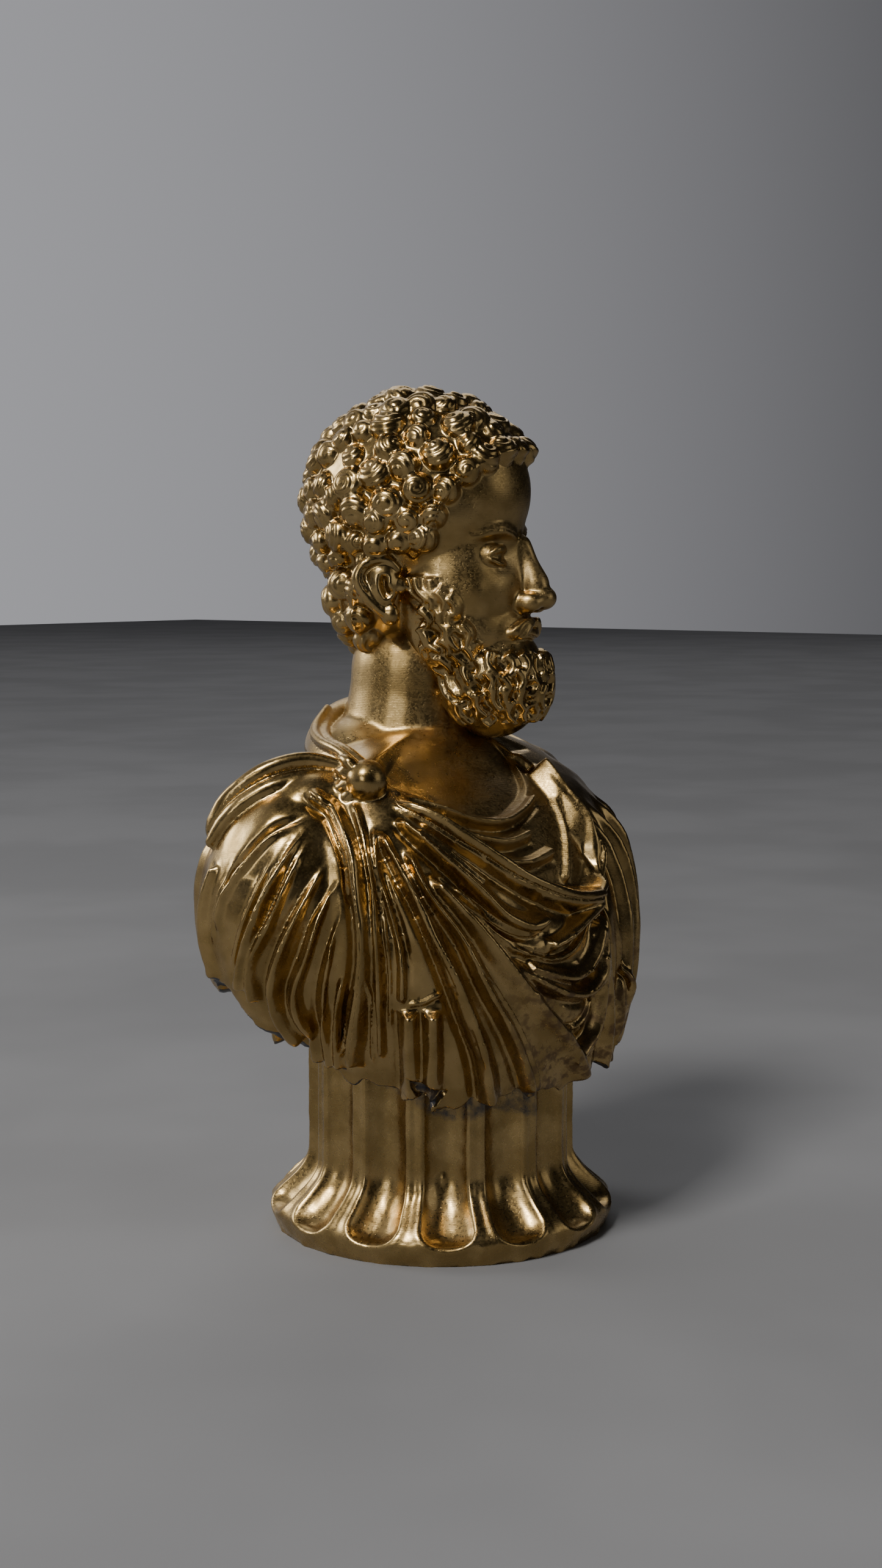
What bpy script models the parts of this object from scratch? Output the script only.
"""Small gilt bust of a bearded, curly-haired Roman emperor in a cloak, in one piece with its fluted socle.

The figure is sculpted in figure units, UNITS_TALL of them from the cloak's lowest hem to the top of the hair,
with x towards the figure's left, y towards its back and z up from the hem. It is then scaled to FIGURE_HEIGHT,
lifted onto the socle and joined to it. A place on the torso is (turn, height): degrees from the front towards
the figure's left, and units above the hem.
"""

import math

import bmesh
import bpy
import numpy as np
from mathutils import Matrix, Vector
from mathutils.bvhtree import BVHTree

# Driving sizes of the real object, in metres
FIGURE_HEIGHT = 0.1252
HEM_CLEARANCE = 0.0248
SOCLE_REACH_INTO_FIGURE = 0.028
STEM_RADIUS = 0.0238
FOOT_RADIUS = 0.0309
FOOT_HEIGHT = 0.014
FOOT_EDGE_HEIGHT = 0.0035
FOOT_UNDERCUT = 0.0012
FLUTE_COUNT = 14
FLUTE_DEPTH = 0.0025
FLUTE_WIDTH_SHARE = 0.72
FLUTE_STOP_HEIGHT = 0.0032
FLUTE_STOP_LENGTH = 0.0036
FLUTE_TURN = -50.0

# Fineness of the faceted solid
BODY_TRIANGLES = 4000
HEAD_TRIANGLES = 3500
SKIN_VOXEL = 0.6
POINTS_PER_FLUTE = 8

# The figure's own proportions, in figure units
UNITS_TALL = 125.2
HEAD_CENTRE = Vector((0.6, 4.2, 102.6))
HEAD_TURN = 20.0
NECK_RADIUS = 11.0

# Torso sections: height, half width, reach to the front, reach to the back
TORSO_SECTIONS = (
    (-8, 24, 24, 23),
    (0, 27.5, 26.5, 25.5),
    (6, 30.5, 28.5, 26.5),
    (14, 34.5, 30, 27.5),
    (24, 38, 30.5, 28.8),
    (34, 39.5, 29.5, 29),
    (43, 39, 26.5, 28.5),
    (50, 36, 22.5, 27),
    (56, 31, 16.5, 24.5),
    (60, 24, 11, 21.5),
    (63, 16, 7, 18),
    (65, 8, 4, 15),
)

# Heights by turn: the hem all round, the edge of the cloak across the chest, and the collar of the tunic
HEM = (
    (-180, 5), (-140, 8), (-118, 20), (-106, 23), (-97, 13), (-85, 7.5), (-66, 5), (-48, 1), (-29, 2.5),
    (-8, 1), (15, 3), (32, 5), (48, 9), (66, 15), (95, 21), (118, 18), (145, 8), (180, 5),
)
CLOAK_EDGE = (
    (-80, 60), (-68, 56), (-58, 53), (-49, 49.8), (-41, 47), (-33, 44.4), (-24, 41.5), (-16, 39.3), (-5, 37.8),
    (7, 37), (15, 37.5), (21, 41), (25, 47), (30, 53), (38, 58), (50, 66),
)
COLLAR = (
    (-80, 60), (-72, 57.6), (-61, 56.2), (-51, 54.4), (-39, 52.4), (-25, 51.6), (-10, 52.8), (10, 55), (40, 60),
)

# Heights above the head's centre by turn from the face: the hair's lower edge and the beard's upper edge
HAIRLINE = (
    (0, 9.5), (31, 8.2), (40, 6.6), (54, 3.6), (60, 1.6), (67, -2.5), (74, -6.6), (80, -8), (87, -6.2),
    (100, -6.6), (112, -9.4), (120, -16), (130, -20.5), (145, -22.5), (180, -23.5),
)
BEARD_LINE = (
    (0, -25), (20, -23.5), (34, -18.6), (45, -16.2), (55, -12.8), (70, -10.6), (88, -9), (106, -9),
)

# Folds of the cloth: places along each, half widths at its two ends, rise, lean of the crest and depth of the
# groove beside it, on the right of the fold as it runs where the depth is positive, on the left where negative
CHEST_FOLDS = (
    # The twisted edge between arm and chest, and the thinner folds beside it
    (((-92, 56.5), (-82, 52.3), (-75, 46.5), (-72, 38.9), (-71, 30.9), (-72, 24.7), (-78, 9.9)),
     (1.4, 2.0), 2.6, 0, 1.4),
    (((-80, 55), (-76, 52), (-70, 43.5), (-68, 33), (-68, 20.6), (-69, 11.8)), (0.9, 1.2), 1.5, 0, -0.4),
    (((-71, 50.7), (-69, 45.4), (-65, 38), (-62, 30), (-62, 22)), (0.8, 1.0), 1.4, 0, -0.5),
    # Long folds from the brooch to the hem
    (((-70, 50.5), (-64, 45), (-57, 37.7), (-51, 29.2), (-45, 20), (-39, 11.6), (-35, 3)), (0.9, 2.2), 2.8, 0.3, 1.8),
    (((-62, 47.5), (-57, 41.5), (-47, 33), (-39, 23.8), (-31, 16.2), (-19, 4)), (0.9, 2.0), 1.9, 0.2, 0.7),
    (((-57, 43), (-43, 33.7), (-27, 22.3), (-16, 16), (-7, 11.6), (6, 4)), (1.5, 3.0), 2.4, -0.3, -1.1),
    # Hanging folds under the cloak's edge
    (((-66, 52), (-56, 47.5), (-42, 40.6), (-31, 35), (-23, 33.8), (-17, 35)), (1.0, 2.3), 2.3, 0.3, 1.1),
    (((-60, 50.2), (-52, 47), (-39, 40.9)), (0.8, 1.1), 1.3, 0, 0.3),
    (((14, 35.3), (2, 33), (-6, 31.3), (-17, 29.7)), (2.0, 1.4), 1.9, -0.2, -0.9),
    (((12, 32), (6, 26.7), (-1, 24.2), (-15, 24.9), (-26, 27.1)), (1.9, 1.5), 1.9, -0.2, -0.9),
    (((11, 28.2), (9, 22.6), (3, 20.8), (-7, 21.1), (-19, 23.7), (-32, 27.5)), (1.9, 1.5), 1.9, -0.2, -0.9),
    (((12, 26.2), (11, 18.5), (9, 12.9), (0, 8.5)), (1.7, 1.9), 1.9, 0.2, 0.9),
    (((14, 33.7), (13, 26), (16, 18), (24, 4)), (1.7, 2.2), 1.8, 0.2, 0.6),
    # The rolled edge itself, across the chest and up to the left shoulder, and the layer inside it
    (((-68, 54.7), (-58, 52), (-41, 46.3), (-24, 40.7), (-5, 37), (7, 36.2), (15, 36.3)),
     (1.6, 2.7), 2.8, 0, 0.7),
    (((10, 36), (20, 39.8), (24, 43.7), (25, 48.3), (29, 54), (38, 58)), (2.4, 2.0), 2.4, 0, 0.8),
    (((38, 57.1), (21, 51.5), (13, 47), (5, 41.8), (1, 39.4)), (1.1, 1.1), 1.2, 0, -0.4),
    # The tunic's collar band and its slack across the chest
    (((-72, 57), (-61, 55.4), (-51, 53.6), (-39, 51.5), (-25, 50.7), (-10, 51.8), (10, 54)),
     (1.1, 1.1), 1.6, 0, 0.8),
    (((-52, 52.2), (-40, 49), (-28, 47.6), (-10, 48.4)), (1.0, 1.5), 1.5, 0, 0.6),
    (((-30, 44.5), (-18, 43.8), (0, 45)), (1.1, 1.4), 1.3, 0, 0.5),
)
ARM_FOLDS = (
    (((-88, 51.8), (-92, 50), (-96, 46), (-101, 40), (-104, 32)), (0.9, 1.2), 1.2, 0, 0),
    (((-87, 51.6), (-89, 45), (-92, 38), (-96, 29.3), (-99, 23)), (0.9, 1.8), 1.9, 0.2, 0.8),
    (((-86, 49), (-87, 43.8), (-90, 35.6), (-95, 27.7), (-97, 21)), (0.8, 1.5), 1.5, 0.2, 0.7),
    (((-81, 45.6), (-84, 39), (-88, 31), (-91, 25), (-93, 14)), (1.0, 1.9), 2.0, 0.2, 0.8),
    (((-76, 43.5), (-80, 39), (-84, 29.7), (-88, 22), (-89, 10)), (1.0, 1.9), 1.8, 0.2, 0.8),
    (((-76, 27.8), (-80, 18.9), (-84, 9)), (0.9, 1.3), 1.4, 0, 0.6),
    (((-106, 44), (-109, 34), (-108, 24)), (1.2, 2.0), 1.3, 0, 0.6),
)


def smooth_table(rows, at):
    """Rows of numbers, the first of which is the place, read at many places by a smooth curve through them."""
    rows = np.array(rows, float)
    place, values = rows[:, 0], rows[:, 1:]
    slope = np.gradient(values, place, axis=0)
    at = np.clip(np.asarray(at, float), place[0], place[-1])
    i = np.clip(np.searchsorted(place, at, side="right") - 1, 0, len(place) - 2)
    step = (place[i + 1] - place[i])[:, None]
    t = ((at - place[i]) / step[:, 0])[:, None]
    return (
        (2 * t**3 - 3 * t**2 + 1) * values[i]
        + (t**3 - 2 * t**2 + t) * step * slope[i]
        + (3 * t**2 - 2 * t**3) * values[i + 1]
        + (t**3 - t**2) * step * slope[i + 1]
    )


def smooth_curve(points, spacing=1.0):
    """A smooth curve through a few points, as points about a spacing apart."""
    points = np.array([tuple(p) for p in points], float)
    runs = np.linalg.norm(np.diff(points, axis=0), axis=1)
    place = np.concatenate(([0], np.cumsum(runs)))
    count = max(3, int(place[-1] / spacing) + 1)
    return smooth_table(np.column_stack((place, points)), np.linspace(0, place[-1], count))


def ramp(values):
    """A smooth step from 0 to 1 as the values go from 0 to 1."""
    values = np.clip(values, 0, 1)
    return values * values * (3 - 2 * values)


def turn_of(points):
    return np.degrees(np.arctan2(points[:, 0], -points[:, 1]))


def new_object(name, points, faces):
    mesh = bpy.data.meshes.new(name)
    mesh.from_pydata([tuple(p) for p in points], [], faces)
    obj = bpy.data.objects.new(name, mesh)
    bpy.context.scene.collection.objects.link(obj)
    return obj


def stacked_rings(name, rings):
    """A closed body through rings of points, each counter-clockwise seen from the end of the stack."""
    around = len(rings[0])
    points = [p for ring in rings for p in ring]
    faces = [tuple(range(around))[::-1], tuple(range(len(points) - around, len(points)))]
    for level in range(len(rings) - 1):
        for k in range(around):
            a, b = level * around + k, level * around + (k + 1) % around
            faces.append((a, b, b + around, a + around))
    return new_object(name, points, faces)


def ball(centre, radii, turn=(0, 0, 0)):
    """A ball stretched to three radii and turned by degrees about x, y and z."""
    bpy.ops.mesh.primitive_ico_sphere_add(subdivisions=4, radius=1, location=centre)
    obj = bpy.context.object
    obj.rotation_euler = [math.radians(angle) for angle in turn]
    obj.scale = radii
    return obj


def rope(points, radii, flat=1.0, face=None):
    """A solid run along a smooth curve, its radius going through the radii.

    flat is its thickness as a share of its width, and face is the point that its flat side looks at.
    """
    curve = smooth_curve(points, 1.0)
    share = np.linspace(0, 1, len(radii))
    rings = []
    for k, here in enumerate(curve):
        along = Vector(curve[min(k + 1, len(curve) - 1)] - curve[max(k - 1, 0)]).normalized()
        out = Vector(here) - Vector(face) if face is not None else Vector((0.3, 0.2, 1))
        out = (out - along * out.dot(along)).normalized()
        across = out.cross(along)
        radius = float(np.interp(k / (len(curve) - 1), share, radii))
        ring = []
        for a in np.linspace(0, 2 * math.pi, 16, endpoint=False):
            ring.append(Vector(here) + (across * math.cos(a) + out * (math.sin(a) * flat)) * radius)
        rings.append(ring)
    return stacked_rings("rope", rings)


def fused(name, objects, voxel, rounds):
    """The objects as one skin: joined, remeshed at the voxel size and smoothed by a number of rounds."""
    bpy.ops.object.select_all(action="DESELECT")
    for obj in objects:
        obj.select_set(True)
    bpy.context.view_layer.objects.active = objects[0]
    bpy.ops.object.join()
    obj = bpy.context.object
    bpy.ops.object.transform_apply(location=True, rotation=True, scale=True)
    obj.name = name
    remesh = obj.modifiers.new("skin", "REMESH")
    remesh.mode = "VOXEL"
    remesh.voxel_size = voxel
    if rounds:
        soften = obj.modifiers.new("soften", "SMOOTH")
        soften.factor = 0.5
        soften.iterations = rounds
    for modifier in list(obj.modifiers):
        bpy.ops.object.modifier_apply(modifier=modifier.name)
    return outer_skin(obj)


def outer_skin(obj):
    """The object without the pockets that its skin encloses: only what hangs together with its top is kept."""
    mesh = bmesh.new()
    mesh.from_mesh(obj.data)
    top = max(mesh.verts, key=lambda vertex: vertex.co.z)
    kept, waiting = {top}, [top]
    while waiting:
        for edge in waiting.pop().link_edges:
            for vertex in edge.verts:
                if vertex not in kept:
                    kept.add(vertex)
                    waiting.append(vertex)
    bmesh.ops.delete(mesh, geom=[vertex for vertex in mesh.verts if vertex not in kept], context="VERTS")
    mesh.to_mesh(obj.data)
    mesh.free()
    return obj


class Clay:
    """A skin that is raised and cut by strokes, each measured from the smooth skin as it was at first."""

    def __init__(self, obj):
        self.obj = obj
        count = len(obj.data.vertices)
        points, normals = np.empty(count * 3), np.empty(count * 3)
        obj.data.vertices.foreach_get("co", points)
        obj.data.vertices.foreach_get("normal", normals)
        self.points, self.normals = points.reshape(-1, 3), normals.reshape(-1, 3)
        self.raised, self.sunk, self.offset = np.zeros(count), np.zeros(count), np.zeros(count)
        self.tree = BVHTree.FromObject(obj, bpy.context.evaluated_depsgraph_get())

    def nearest(self, point):
        return self.tree.find_nearest(Vector(point))[0]

    def at(self, turn, height):
        """The skin's point at a turn from the front and a height, seen from the upright axis."""
        outward = Vector((math.sin(math.radians(turn)), -math.cos(math.radians(turn)), 0))
        start = outward * 80 + Vector((0, 0, height))
        return self.tree.ray_cast(start, -outward)[0]

    def route(self, *places):
        """A smooth curve on the skin through places, each (turn, height) or a point near the skin."""
        found = [self.at(*place) if len(place) == 2 else self.nearest(place) for place in places]
        curve = smooth_curve(found, 2.0)
        return np.array([self.nearest(point) for point in curve])

    def measure(self, path, reach):
        """The skin points within reach of a path, with their signed distance to it and their share along it."""
        low, high = path.min(axis=0) - reach, path.max(axis=0) + reach
        near = np.flatnonzero(np.all((self.points > low) & (self.points < high), axis=1))
        points = self.points[near]
        best = np.full(len(near), 1e9)
        share, side = np.zeros(len(near)), np.ones(len(near))
        for k, (start, end) in enumerate(zip(path[:-1], path[1:])):
            run = end - start
            t = np.clip((points - start) @ run / max(run @ run, 1e-9), 0, 1)
            gap = points - start - t[:, None] * run
            distance = np.einsum("ij,ij->i", gap, gap)
            closer = distance < best
            best[closer] = distance[closer]
            share[closer] = (k + t[closer]) / (len(path) - 1)
            turned = np.einsum("ij,ij->i", np.cross(run, self.normals[near[closer]]), gap[closer])
            side[closer] = np.where(turned < 0, -1, 1)
        return near, side * np.sqrt(best), share

    def fold(self, path, widths, rise, lean=0.0, cut=0.0, fade=(0.12, 0.12)):
        """A ridge along a path, with a groove beside it.

        widths are its half widths at both ends, lean moves its crest to the right as a share of that, cut is the
        depth of the groove, which lies on the left if it is negative, and fade is the share of the path over which
        the fold starts and ends.
        """
        near, distance, share = self.measure(path, 2.2 * max(widths))
        across = distance / np.interp(share, (0, 1), widths)
        strength = ramp(share / max(fade[0], 1e-3)) * ramp((1 - share) / max(fade[1], 1e-3))
        bent = np.clip(across - lean * (1 - np.clip(across * across, 0, 1)), -1, 1)
        ridge = rise * strength * (0.5 + 0.5 * np.cos(math.pi * bent))
        self.raised[near] = np.maximum(self.raised[near], ridge)
        groove = abs(cut) * strength * np.exp(-(((across - math.copysign(1.05, cut)) / 0.4) ** 2))
        self.sunk[near] = np.maximum(self.sunk[near], groove)

    def groove(self, path, widths, depth, fade=(0.2, 0.2)):
        near, distance, share = self.measure(path, max(widths))
        across = np.clip(distance / np.interp(share, (0, 1), widths), -1, 1)
        strength = ramp(share / fade[0]) * ramp((1 - share) / fade[1])
        self.sunk[near] = np.maximum(self.sunk[near], depth * strength * (0.5 + 0.5 * np.cos(math.pi * across)))

    def curl(self, centre, radius, rise):
        """A round curl of hair, as a dome."""
        near = np.flatnonzero(np.all(np.abs(self.points - centre) < radius, axis=1))
        share = np.linalg.norm(self.points[near] - centre, axis=1) / radius
        dome = rise * np.sqrt(np.clip(1 - share**2.2, 0, 1))
        self.raised[near] = np.maximum(self.raised[near], dome)

    def settle(self):
        """Moves the skin to where the strokes put it."""
        moved = self.points + self.normals * (self.offset + self.raised - self.sunk)[:, None]
        self.obj.data.vertices.foreach_set("co", moved.ravel())
        self.obj.data.update()
        return moved


def torso_form():
    """The smooth body under the cloak's folds, with the arms' stumps and the shoulders."""
    heights = np.linspace(TORSO_SECTIONS[0][0], TORSO_SECTIONS[-1][0], 40)
    rings = []
    for z, (half, front, back) in zip(heights, smooth_table(TORSO_SECTIONS, heights)):
        ring = []
        for a in np.linspace(0, 2 * math.pi, 96, endpoint=False):
            c, s = math.cos(a), math.sin(a)
            x = half * math.copysign(abs(c) ** 0.86, c)
            y = (back if s > 0 else front) * math.copysign(abs(s) ** 0.92, s)
            ring.append((x, y, z))
        rings.append(ring)
    return stacked_rings("torso", rings)


def torso_parts():
    """Everything below the head that the cloak and the neck are fused from."""
    neck = rope(((0.2, 8.5, 50), (0.3, 8, 60), (0.3, 7.4, 68), (0.4, 6.2, 86)),
                (NECK_RADIUS + 7, NECK_RADIUS + 4, NECK_RADIUS + 1, NECK_RADIUS, NECK_RADIUS, NECK_RADIUS), 1,
                (0, -400, 68))
    return [
        torso_form(),
        neck,
        ball((-32.8, 7.5, 34.5), (13.8, 16.3, 22)),
        ball((31.5, 7, 34), (13, 15.5, 21.5)),
        ball((-24, 6, 54), (13, 13, 6.5)),
        ball((24, 6, 54.5), (13, 13, 6.5)),
        ball((0.5, 11, 60), (18.5, 12.5, 8.5)),
    ]


def drape(clay):
    """The cloak's folds, the tunic in its opening, the arm's pleats and the hem."""
    turn, height = turn_of(clay.points), clay.points[:, 2]
    edge = smooth_table(CLOAK_EDGE, turn)[:, 0]
    collar = smooth_table(COLLAR, turn)[:, 0]
    front = ramp((turn + 84) / 8) * ramp((62 - turn) / 8) * ramp((66 - height) / 8)
    clay.offset -= 1.7 * front * ramp((height - edge) / 1.2)
    clay.offset -= 0.9 * front * ramp((height - collar) / 0.8)

    for places, widths, rise, lean, cut in CHEST_FOLDS + ARM_FOLDS:
        clay.fold(clay.route(*places), widths, rise, lean, cut, (0.07, 0.04))
    # The hollow between two of the long folds, and the tubes that hang from its lower edge
    clay.groove(clay.route((-69, 46), (-64, 36), (-59, 27), (-57, 24)), (0.8, 3.6), 2.6, (0.2, 0.1))
    for turn in (-61, -57, -53):
        clay.fold(clay.route((turn, 21), (turn, 12), (turn - 1, 2)), (1.2, 1.5), 2.0, 0, 0.8, (0.06, 0.02))
    # The crevice between chest and left arm, and the groove under the flap
    crevice = clay.route((25, 50), (22, 41.6), (17, 33.6), (18, 25.8), (22, 17.6), (27, 6))
    clay.groove(crevice, (2.0, 2.6), 2.4, (0.15, 0.05))
    clay.groove(clay.route((-88, 52.6), (-94, 50.2), (-98, 45.6), (-103, 39)), (1.3, 1.6), 1.3)
    left_side(clay)


def left_side(clay):
    """Plainer folds over the left shoulder and arm and down the back."""
    for turn, lean in ((33, -4), (44, -5), (56, -3), (68, 0), (80, 2), (92, 4), (104, 6), (116, 5), (128, 3)):
        foot = float(smooth_table(HEM, [turn + lean])[0, 0])
        path = clay.route((turn - 2, 53), (turn, 36), (turn + lean, foot))
        clay.fold(path, (1.6, 2.4), 1.8, 0.2, 0.7, (0.2, 0.02))
    for turn in range(-164, 176, 22):
        if turn < -112 or turn > 138:
            foot = float(smooth_table(HEM, [turn])[0, 0])
            path = clay.route((turn * 0.97, 50), (turn, 30), (turn, foot))
            clay.fold(path, (2.0, 3.0), 1.3, 0.2, 0.5, (0.3, 0.02))


def trim_hem(obj):
    """Lifts whatever hangs below the hem up to it, and hollows the underside a little towards the socle."""
    points = np.array([vertex.co for vertex in obj.data.vertices])
    turn = turn_of(points)
    scallops = 0.7 * np.sin(np.radians(turn * 23)) + 0.5 * np.sin(np.radians(turn * 41))
    hem = smooth_table(HEM, turn)[:, 0] + scallops
    inward = ramp(1 - (np.hypot(points[:, 0], points[:, 1]) - 20) / 14)
    points[:, 2] = np.maximum(points[:, 2], hem + inward * (6 - 0.2 * hem))
    obj.data.vertices.foreach_set("co", points.ravel())
    obj.data.update()


def cloak_trim(clay):
    """The cloak's rolled collar, the flap over the right shoulder and the round brooch."""
    inside = (0, 4, 45)
    collar = rope(((-27, -5, 57), (-25.5, 1, 59.5), (-22, 9, 61), (-16.5, 15, 62.5), (-9, 18.3, 66),
                   (1, 19.6, 67.5), (11, 18.3, 66), (18, 12, 63), (21, 2, 60.5), (20, -8, 57), (16, -16, 51)),
                  (1.4, 2.4, 2.8, 2.8, 2.6, 2.0), 0.8, inside)
    flap = np.array(((-27, -1, 57.6), (-31, 4.8, 59), (-35, 8.2, 58), (-38, 11.3, 55.8), (-40.4, 14.8, 52.2),
                     (-41.6, 17.6, 47.5)))
    parts = [collar, rope(flap, (1.6, 2.4, 2.8, 2.8, 2.5), 0.5, inside)]
    for shift in ((0.3, 0.2, 2.0), (-1.0, -0.8, -1.3)):
        parts.append(rope(flap + shift, (1.0, 1.3, 1.4, 1.3, 1.0), 1, inside))
    brooch = clay.at(-78, 57.5)
    parts.append(ball(brooch + Vector((-2.0, -1.2, 0.4)), (3.5, 3.5, 3.6)))
    parts.append(ball(brooch + Vector((-1.8, 2.8, 0.9)), (1.8, 2.4, 2.6)))
    return parts


def head_parts():
    """The head's masses in its own frame, face towards -y, on common proportions."""
    parts = [
        ball((0, 0.9, 1.9), (15.6, 19.5, 18.4)),
        ball((0, -6.3, 4), (13.6, 13, 10.5)),
        ball((0, -9.3, 7.5), (11.5, 10.6, 7)),
        ball((0, -7.4, -1), (12.4, 11.7, 8.5)),
        ball((0, 6.2, -12), (12.3, 9.3, 12.5)),
        ball((0, -6, -11), (12.6, 12.8, 18)),
        ball((0, -7, -20), (11.4, 11.2, 10.5)),
        ball((0, -13.5, -20.5), (7.6, 6.0, 6.5)),
        ball((0, -12.6, -29), (9.4, 9.8, 10.6), (-10, 0, 0)),
    ]
    for side in (-1, 1):
        parts.append(ball((side * 7.0, -9.6, -12.6), (6.4, 6.0, 6.0)))
        parts.append(rope(((side * 1.8, -17.6, -4.2), (side * 6.5, -16.6, -2.6), (side * 11, -12.4, -3.8)),
                          (1.2, 1.6, 1.0)))
    return parts


def face_parts():
    """Nose, lips, eyeballs and ears, which go on after the sockets are pressed in."""
    parts = [
        rope(((0, -16.9, -4.0), (0, -19.4, -9.6), (0, -21.4, -14.4)), (1.9, 2.2, 2.8)),
        ball((0, -22, -14.9), (2.8, 2.7, 2.2)),
        ball((0, -18.5, -20.7), (4.7, 2.2, 1.3)),
        ball((0, -18.3, -23.0), (4.1, 2.2, 1.5)),
    ]
    for side in (-1, 1):
        parts.append(ball((side * 2.8, -19.6, -15.4), (1.8, 2.8, 1.9)))
        parts.append(ball((side * 6.0, -12.9, -7.3), (3.05, 3.05, 2.9)))
        parts.append(ball((side * 12.9, 4.2, -11.2), (3.0, 4.0, 5.4), (0, 0, side * 18)))
        rim = ((12.6, 0.2, -8.2), (14.2, 2.6, -5.8), (15.8, 6.0, -6.6), (16.4, 7.6, -9.4), (15.8, 6.6, -12.6),
               (14.4, 4.2, -15.4), (13.3, 1.8, -17.2))
        parts.append(rope([(side * x, y, z) for x, y, z in rim], (0.9, 1.0, 1.1, 1.1, 1.2, 1.2), 1,
                          (0, 3.4, -12.6)))
    return parts


def hair_reaches(points):
    """Whether the hair covers points of the head, in its own frame."""
    turn = np.abs(turn_of(points))
    lowest = smooth_table(HAIRLINE, turn)[:, 0]
    return points[:, 2] > lowest


def curl_places(spacing):
    """Places over a ball's surface, evenly scattered in a spiral, as directions."""
    count = int(4 * math.pi * 18.5**2 / (spacing * spacing * 0.87))
    k = np.arange(count) + 0.5
    upright = 1 - 2 * k / count
    angle = k * math.pi * (3 - math.sqrt(5))
    level = np.sqrt(1 - upright * upright)
    return np.column_stack((level * np.cos(angle), level * np.sin(angle), upright))


def dress_hair(clay, scatter):
    """Curls over the scalp."""
    for direction in curl_places(4.8):
        direction = Vector(direction + scatter.normal(0, 0.03, 3))
        hit = clay.tree.ray_cast(Vector((0, 1.2, -3)) + direction * 60, -direction)[0]
        radius, rise = scatter.uniform(2.3, 2.9), scatter.uniform(1.9, 2.6) + 0.6 * max(0.0, -direction.y)
        if hit is not None and hair_reaches(np.array([hit]))[0]:
            clay.curl(np.array(hit), radius, rise)


def dress_beard(clay, scatter):
    """Short tapering locks down the cheeks, over the jaw and chin, and the moustache."""
    for row in range(9):
        for k in range(-11, 12):
            turn = k * 9.5 + (row % 2) * 4.7 + scatter.uniform(-1.5, 1.5)
            height = -10.6 - row * 2.9 + scatter.uniform(-0.6, 0.6)
            upper = float(smooth_table(BEARD_LINE, [abs(turn)])[0, 0])
            if height > upper or abs(turn) > 106 or height < -19 - 0.5 * (106 - abs(turn)):
                continue
            away = Vector((math.sin(math.radians(turn)), -math.cos(math.radians(turn)), 0))
            start = clay.tree.ray_cast(away * 60 + Vector((0, -5, height)), -away)[0]
            if start is None:
                continue
            side = away.cross(Vector((0, 0, 1)))
            sway = scatter.choice((-1, 1)) * scatter.uniform(0.6, 1.3)
            forward = Vector((0, -0.9, 0)) * (abs(turn) / 80)
            middle = start + Vector((0, 0, -2.0)) + forward + side * sway
            end = start + Vector((0, 0, -4.8)) + forward * 2 - side * sway
            path = clay.route(tuple(start), tuple(middle), tuple(end))
            clay.fold(path, (1.9, 1.1), 1.6, 0.2, 0.3, (0.05, 0.2))
    for side in (-1, 1):
        clay.fold(clay.route((side * 0.6, -20, -18.2), (side * 4, -19.6, -19.4), (side * 7.4, -17, -23.5)),
                  (1.5, 1.1), 1.2, 0, 0.2, (0.1, 0.2))


def head():
    """The head on its neck, turned towards the figure's left and set above the shoulders."""
    skull = fused("skull", head_parts(), SKIN_VOXEL, 5)
    clay = Clay(skull)
    for side in (-1, 1):
        socket = clay.nearest((side * 6.2, -18, -7.6))
        inner, outer = socket + Vector((-side * 1.4, 0, 0)), socket + Vector((side * 1.6, 0, 0))
        clay.groove(np.array([inner, outer]), (4.0, 4.4), 2.5, (1e-3, 1e-3))
    scatter = np.random.default_rng(7)
    dress_hair(clay, scatter)
    dress_beard(clay, scatter)
    clay.settle()
    whole = fused("head", [skull] + face_parts(), SKIN_VOXEL, 1)
    whole.matrix_world = Matrix.Translation(HEAD_CENTRE) @ Matrix.Rotation(math.radians(HEAD_TURN), 4, "Z")
    return whole


def thinned(obj, triangles):
    """The object with about so many triangles."""
    bpy.context.view_layer.objects.active = obj
    thin = obj.modifiers.new("thin", "DECIMATE")
    thin.ratio = triangles / sum(len(face.vertices) - 2 for face in obj.data.polygons)
    bpy.ops.object.modifier_apply(modifier=thin.name)
    return obj


def united(obj, other):
    """The object joined with another by a Boolean union."""
    bpy.context.view_layer.objects.active = obj
    union = obj.modifiers.new("union", "BOOLEAN")
    union.operation = "UNION"
    union.object = other
    bpy.ops.object.modifier_apply(modifier=union.name)
    bpy.data.objects.remove(other)
    return outer_skin(obj)


def figure():
    """The whole figure as one closed body of few triangles, in figure units."""
    cloak = fused("cloak", torso_parts(), SKIN_VOXEL * 1.3, 8)
    clay = Clay(cloak)
    drape(clay)
    clay.settle()
    trim_hem(cloak)
    body = thinned(fused("figure", [cloak] + cloak_trim(clay), SKIN_VOXEL, 1), BODY_TRIANGLES)
    return united(body, thinned(head(), HEAD_TRIANGLES))


def socle_radius(height):
    """The socle's plain radius at a height: a stem that flares into a foot with a rounded edge."""
    share = min(max((FOOT_HEIGHT - height) / (FOOT_HEIGHT - FOOT_EDGE_HEIGHT), 0.0), 1.0)
    under = max(0.0, 1 - height / FOOT_EDGE_HEIGHT)
    return STEM_RADIUS + (FOOT_RADIUS - STEM_RADIUS) * ramp(share**1.3) - FOOT_UNDERCUT * under**2


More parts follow.
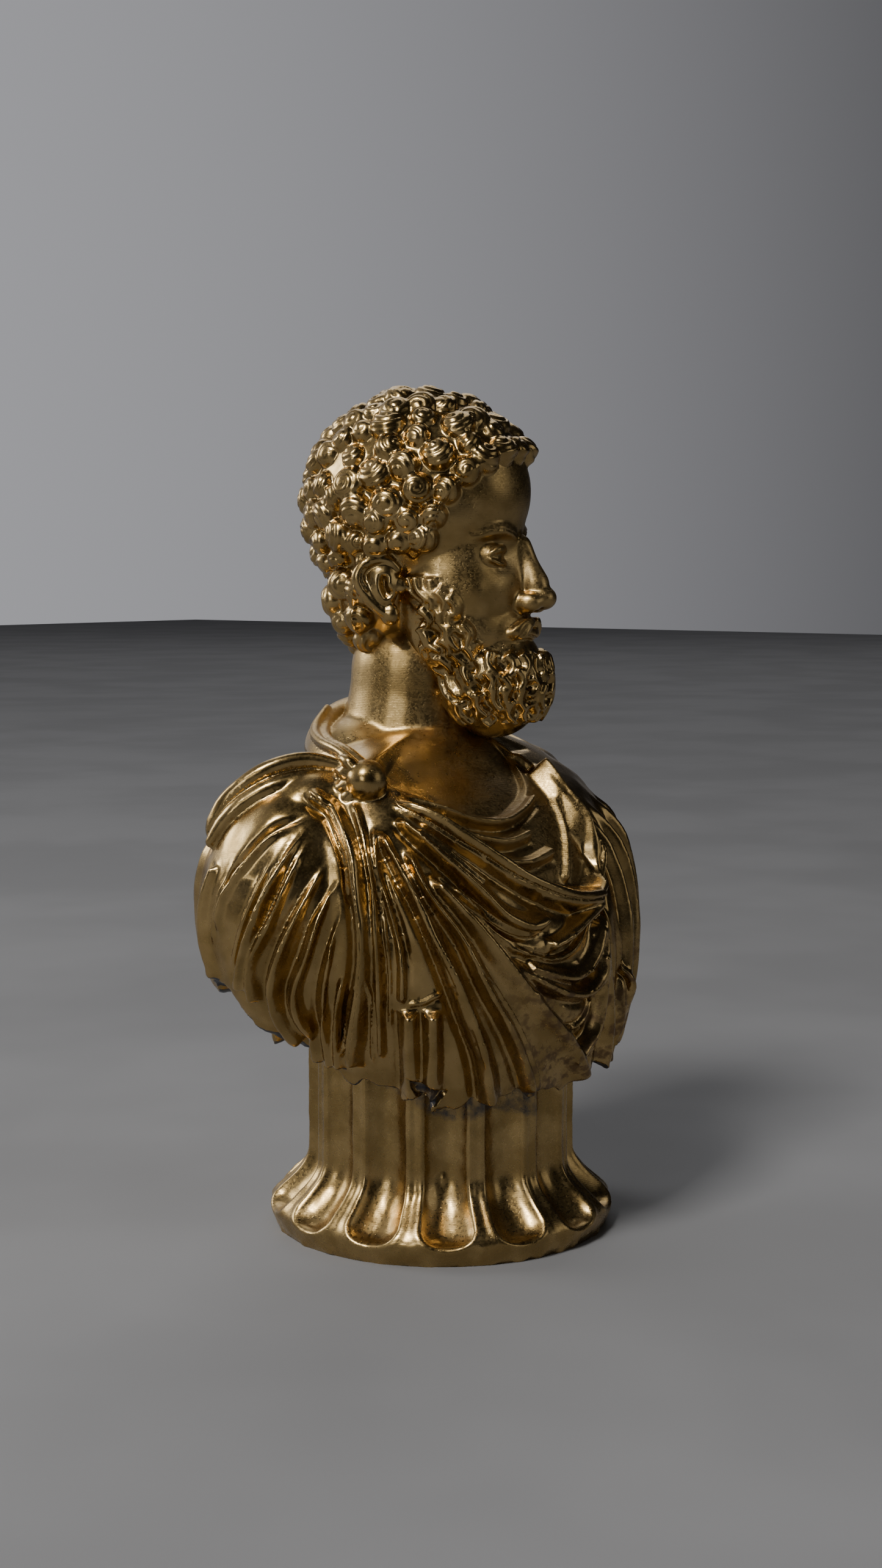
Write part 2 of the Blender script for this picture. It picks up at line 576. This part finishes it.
def socle():
    """The fluted socle: a turned shape with upright hollows that stop, rounded, above the foot's edge."""
    top = HEM_CLEARANCE + SOCLE_REACH_INTO_FIGURE
    edge = FLUTE_STOP_HEIGHT + FLUTE_STOP_LENGTH
    heights = [0, FLUTE_STOP_HEIGHT / 2]
    heights += [FLUTE_STOP_HEIGHT + FLUTE_STOP_LENGTH * share for share in (0, 0.12, 0.45, 1)]
    heights += [edge + (FOOT_HEIGHT - edge) * share for share in (0.3, 0.62, 1)]
    heights.append(top)
    around = FLUTE_COUNT * POINTS_PER_FLUTE
    nudge = 0.01 * FOOT_HEIGHT
    rings = []
    for z in heights:
        radius = socle_radius(z)
        slope = math.atan2(socle_radius(z - nudge) - socle_radius(z + nudge), 2 * nudge)
        below = min(1.0, max(0.0, (edge - z) / FLUTE_STOP_LENGTH))
        ring = []
        for k in range(around):
            off = min(k % POINTS_PER_FLUTE, POINTS_PER_FLUTE - k % POINTS_PER_FLUTE) * 2 / POINTS_PER_FLUTE
            dip = FLUTE_DEPTH * max(0.0, 1 - (off / FLUTE_WIDTH_SHARE) ** 2 - below**2) ** 0.8
            a = 2 * math.pi * k / around + math.radians(FLUTE_TURN)
            out = radius - dip * math.cos(slope)
            ring.append((out * math.sin(a), -out * math.cos(a), z - dip * math.sin(slope)))
        rings.append(ring)
    return stacked_rings("socle", rings)


def gold_paint():
    material = bpy.data.materials.new("gold_paint")
    material.use_nodes = True
    shader = material.node_tree.nodes["Principled BSDF"]
    shader.inputs["Base Color"].default_value = (0.48, 0.33, 0.13, 1)
    shader.inputs["Metallic"].default_value = 1.0
    shader.inputs["Roughness"].default_value = 0.34
    return material


def clear_scene():
    for obj in list(bpy.data.objects):
        bpy.data.objects.remove(obj)


def main():
    clear_scene()
    bust = figure()
    bust.data.transform(Matrix.Scale(FIGURE_HEIGHT / UNITS_TALL, 4))
    bust.data.transform(Matrix.Translation((0, 0, HEM_CLEARANCE)))
    bust = united(bust, socle())
    bust.name = "emperor_bust"
    bust.data.materials.clear()
    bust.data.materials.append(gold_paint())
    bust.data.shade_smooth()


if __name__ == "__main__":
    main()
